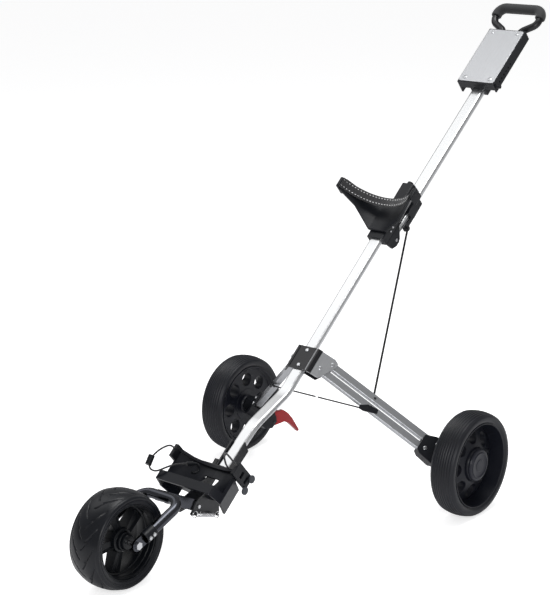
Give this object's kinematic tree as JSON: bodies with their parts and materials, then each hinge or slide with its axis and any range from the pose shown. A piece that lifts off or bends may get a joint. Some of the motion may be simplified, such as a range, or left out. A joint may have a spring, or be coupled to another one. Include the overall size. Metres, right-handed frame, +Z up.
{
  "type": "golf push cart",
  "caption": "Folding three-wheel golf push cart with bag rests, scorecard console and loop handle; the handle, legs and front fork fold.",
  "frame": {"origin": "on the ground, under the middle of the cart's overall box", "axes": "+Z up, +Y from the front wheel towards the handle, +X to the pusher's left"},
  "size_m": [0.742, 1.601, 1.0639],
  "materials": {
    "frame_tube": "satin anodised aluminium",
    "leg_tube": "satin anodised aluminium bar",
    "silver_plate": "brushed aluminium plate",
    "black_plate": "black powder coat",
    "black_plastic": "moulded nylon, matt",
    "grey_plastic": "moulded plastic, satin",
    "tray_plastic": "moulded plastic, fine grain",
    "red_lever": "red moulded plastic",
    "steel": "zinc plated",
    "cheek_steel": "black coated steel",
    "fork_steel": "gunmetal powder coat",
    "rod_black": "black coated steel rod",
    "spring_steel": "bright plated spring wire",
    "tyre": "black foam-filled tyre",
    "wheel_plastic": "moulded wheel, satin",
    "hub_plastic": "moulded cap",
    "webbing": "woven strap with pale stitching",
    "elastic_cord": "braided elastic cord",
    "cable_cover": "plastic covered cable",
    "handle_tube": "black tube",
    "grip_foam": "soft black grip"
  },
  "bodies": {
    "frame": {"lower_tube": "frame_tube", "tube_end": "black_plastic", "hinge_clamp": "black_plastic", "fold_pin": "steel", "cradle": "black_plastic", "strap_anchors": "black_plastic", "cradle_strap": "webbing", "leg_bracket": "black_plate", "leg_plate_front_left": "silver_plate", "leg_plate_front_right": "black_plate", "leg_plates_rear": "black_plate", "leg_pins": "steel", "frame_screws": "steel", "fork_cheeks": "cheek_steel", "fork_pin": "steel", "tray": "tray_plastic", "tray_bracket": "black_plate", "cord_holders": "black_plastic", "cord_tabs": "grey_plastic", "bungee_left": "elastic_cord", "bungee_right": "elastic_cord", "bungee_ends": "black_plastic", "lever_base": "black_plastic", "release_cable": "cable_cover", "latch_spring": "spring_steel"},
    "handle": {"upper_tube": "frame_tube", "hinge_block": "black_plastic", "console_frame": "black_plastic", "scorecard_plate": "silver_plate", "handle": "handle_tube", "handle_grip": "grip_foam"},
    "thumb_lever": {"fold_latch": "black_plastic"},
    "release_lever": {"release_lever": "red_lever"},
    "fork_latch": {"fork_latch": "cheek_steel"},
    "fold_rod": {"fold_rod": "rod_black"},
    "fork": {"fork": "fork_steel", "front_axle": "steel", "fork_bolts": "steel"},
    "front_wheel": {"front_tyre": "tyre", "front_wheel": "wheel_plastic"},
    "leg_upper_left": {"leg_bar_upper_left": "leg_tube"},
    "leg_lower_left": {"leg_bar_lower_left": "leg_tube", "spreader_clip_left": "black_plastic"},
    "spreader_left": {"spreader_left": "cable_cover"},
    "carrier_left": {"wheel_carrier_left": "black_plastic", "carrier_pins_left": "steel", "rear_axle_left": "steel"},
    "rear_wheel_left": {"rear_tyre_left": "tyre", "rear_wheel_left": "wheel_plastic", "hub_cap_left": "hub_plastic"},
    "leg_upper_right": {"leg_bar_upper_right": "leg_tube"},
    "leg_lower_right": {"leg_bar_lower_right": "leg_tube", "spreader_clip_right": "black_plastic"},
    "spreader_right": {"spreader_right": "cable_cover"},
    "carrier_right": {"wheel_carrier_right": "black_plastic", "carrier_pins_right": "steel", "rear_axle_right": "steel"},
    "rear_wheel_right": {"rear_tyre_right": "tyre", "rear_wheel_right": "wheel_plastic", "hub_cap_right": "hub_plastic"}
  },
  "joints": [
    {"name": "handle_fold", "type": "hinge", "parent": "frame", "child": "handle", "pos_m": [0, 0.22845, 0.55936], "axis": [-1, 0, 0], "range_deg": [0, 162]},
    {"name": "leg_upper_left_fold", "type": "hinge", "parent": "frame", "child": "leg_upper_left", "pos_m": [0.05104, -0.05459, 0.32321], "axis": [-0.7071, 0.4573, -0.5393], "range_deg": [0, 75]},
    {"name": "leg_lower_left_fold", "type": "hinge", "parent": "frame", "child": "leg_lower_left", "pos_m": [0.03633, -0.08126, 0.31988], "axis": [-0.7071, 0.4573, -0.5393], "range_deg": [0, 75]},
    {"name": "carrier_left_turn", "type": "hinge", "parent": "leg_upper_left", "child": "carrier_left", "pos_m": [0.25938, 0.06011, 0.14732], "axis": [0.7071, -0.4573, 0.5393], "range_deg": [0, 75]},
    {"name": "spreader_left_fold", "type": "hinge", "parent": "leg_lower_left", "child": "spreader_left", "pos_m": [0.12677, -0.0445, 0.23803], "axis": [0, -0.8347, -0.5507], "range_deg": [0, 99.91]},
    {"name": "rear_wheel_left_spin", "type": "hinge", "parent": "carrier_left", "child": "rear_wheel_left", "pos_m": [0.3405, 0.08001, 0.12], "axis": [1, 0, 0], "continuous": true},
    {"name": "leg_upper_right_fold", "type": "hinge", "parent": "frame", "child": "leg_upper_right", "pos_m": [-0.05104, -0.05459, 0.32321], "axis": [-0.7071, -0.4573, 0.5393], "range_deg": [0, 75]},
    {"name": "leg_lower_right_fold", "type": "hinge", "parent": "frame", "child": "leg_lower_right", "pos_m": [-0.03633, -0.08126, 0.31988], "axis": [-0.7071, -0.4573, 0.5393], "range_deg": [0, 75]},
    {"name": "carrier_right_turn", "type": "hinge", "parent": "leg_upper_right", "child": "carrier_right", "pos_m": [-0.25938, 0.06011, 0.14732], "axis": [0.7071, 0.4573, -0.5393], "range_deg": [0, 75]},
    {"name": "spreader_right_fold", "type": "hinge", "parent": "leg_lower_right", "child": "spreader_right", "pos_m": [-0.12677, -0.0445, 0.23803], "axis": [0, 0.8347, 0.5507], "range_deg": [0, 99.91]},
    {"name": "rear_wheel_right_spin", "type": "hinge", "parent": "carrier_right", "child": "rear_wheel_right", "pos_m": [-0.3405, 0.08001, 0.12], "axis": [1, 0, 0], "continuous": true},
    {"name": "fold_rod_swing", "type": "hinge", "parent": "leg_upper_left", "child": "fold_rod", "pos_m": [0.12932, -0.00221, 0.2446], "axis": [0.6916, -0.4434, 0.5702], "range_deg": [0, 62.23]},
    {"name": "fork_fold", "type": "hinge", "parent": "frame", "child": "fork", "pos_m": [0, -0.47099, 0.108], "axis": [1, 0, 0], "range_deg": [0, 157]},
    {"name": "front_wheel_spin", "type": "hinge", "parent": "fork", "child": "front_wheel", "pos_m": [0, -0.69599, 0.1045], "axis": [1, 0, 0], "continuous": true},
    {"name": "release_lever_pull", "type": "hinge", "parent": "frame", "child": "release_lever", "pos_m": [0, -0.20772, 0.22487], "axis": [-1, 0, 0], "range_deg": [0, 20], "stiffness_Nm_per_rad": 0.6},
    {"name": "fork_latch_turn", "type": "hinge", "parent": "frame", "child": "fork_latch", "pos_m": [0, -0.41048, 0.11454], "axis": [1, 0, 0], "range_deg": [0, 5]},
    {"name": "thumb_lever_press", "type": "hinge", "parent": "handle", "child": "thumb_lever", "pos_m": [0, 0.32951, 0.61908], "axis": [1, 0, 0], "range_deg": [0, 12], "stiffness_Nm_per_rad": 0.3}
  ],
  "couplings": [
    {"joint": "leg_upper_left_fold", "follows": "handle_fold", "ratio": 0.46296},
    {"joint": "leg_lower_left_fold", "follows": "handle_fold", "ratio": 0.46296},
    {"joint": "carrier_left_turn", "follows": "handle_fold", "ratio": 0.46296},
    {"joint": "spreader_left_fold", "follows": "handle_fold", "ratio": 0.61673},
    {"joint": "leg_upper_right_fold", "follows": "handle_fold", "ratio": 0.46296},
    {"joint": "leg_lower_right_fold", "follows": "handle_fold", "ratio": 0.46296},
    {"joint": "carrier_right_turn", "follows": "handle_fold", "ratio": 0.46296},
    {"joint": "spreader_right_fold", "follows": "handle_fold", "ratio": 0.61673},
    {"joint": "fold_rod_swing", "follows": "handle_fold", "ratio": 0.38414},
    {"joint": "fork_latch_turn", "follows": "release_lever_pull", "ratio": 0.25}
  ]
}
